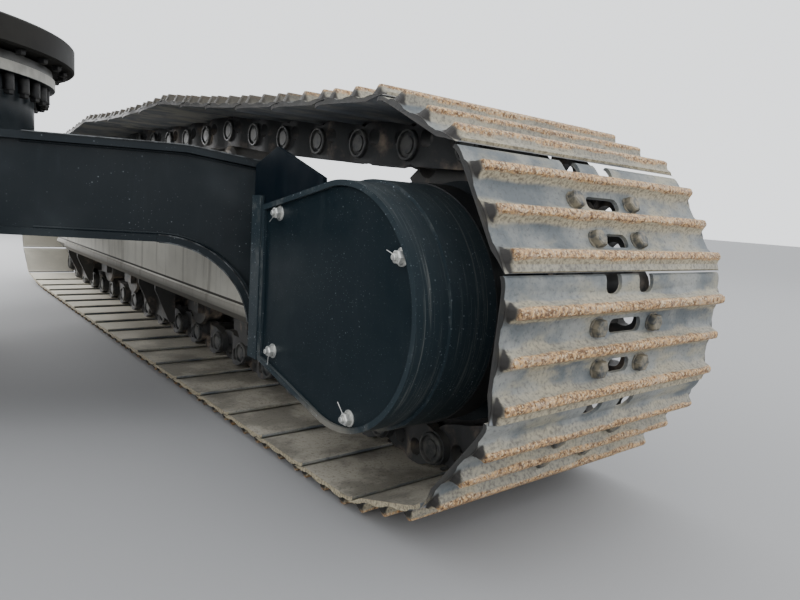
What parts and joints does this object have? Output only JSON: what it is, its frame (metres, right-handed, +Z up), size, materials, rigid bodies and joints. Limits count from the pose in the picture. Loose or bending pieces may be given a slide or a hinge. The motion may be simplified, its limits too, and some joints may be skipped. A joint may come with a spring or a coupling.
{
  "type": "crawler excavator undercarriage",
  "caption": "Tracked undercarriage of a crawler excavator: cross-shaped carbody with a tower and slewing ring, and a track unit with sprocket, idler and rollers on each side.",
  "frame": {"origin": "on the ground, in the middle of the tracks' length and of the machine's width, on the slewing axis", "axes": "+X to the right, +Y forward with the sprockets at the rear, +Z up"},
  "size_m": [3.326, 4.6582, 1.184],
  "materials": {
    "black_paint": "satin, dusty",
    "shoe_steel": "worn steel with rust",
    "chain_steel": "dark, dusty",
    "frame_paint": "matt, dust streaked",
    "ring_steel": "satin",
    "roller_iron": "dark, worn"
  },
  "bodies": {
    "undercarriage": {"carbody_centre": "black_paint", "rear_right_leg": "black_paint", "rear_left_leg": "black_paint", "front_right_leg": "black_paint", "front_left_leg": "black_paint", "belly_cover": "black_paint", "tower": "black_paint", "swivel_joint": "ring_steel", "inner_race": "ring_steel", "right_side_frame": "frame_paint", "right_track_guides": "roller_iron", "right_shoes": "shoe_steel", "right_chain": "chain_steel", "right_sprocket": "roller_iron", "right_final_drive": "black_paint", "right_motor_guard": "black_paint", "right_guard_cover": "black_paint", "right_hose_gusset": "black_paint", "right_idler": "roller_iron", "right_idler_yoke": "roller_iron", "right_bottom_rollers": "roller_iron", "right_carrier_rollers": "roller_iron", "right_carrier_posts": "frame_paint", "left_side_frame": "frame_paint", "left_track_guides": "roller_iron", "left_shoes": "shoe_steel", "left_chain": "chain_steel", "left_sprocket": "roller_iron", "left_final_drive": "black_paint", "left_motor_guard": "black_paint", "left_guard_cover": "black_paint", "left_hose_gusset": "black_paint", "left_idler": "roller_iron", "left_idler_yoke": "roller_iron", "left_bottom_rollers": "roller_iron", "left_carrier_rollers": "roller_iron", "left_carrier_posts": "frame_paint"},
    "slew_ring": {"outer_race": "ring_steel"}
  },
  "joints": [
    {"name": "slew", "type": "hinge", "parent": "undercarriage", "child": "slew_ring", "pos_m": [0, 0, 1.141], "axis": [0, 0, 1], "continuous": true}
  ]
}
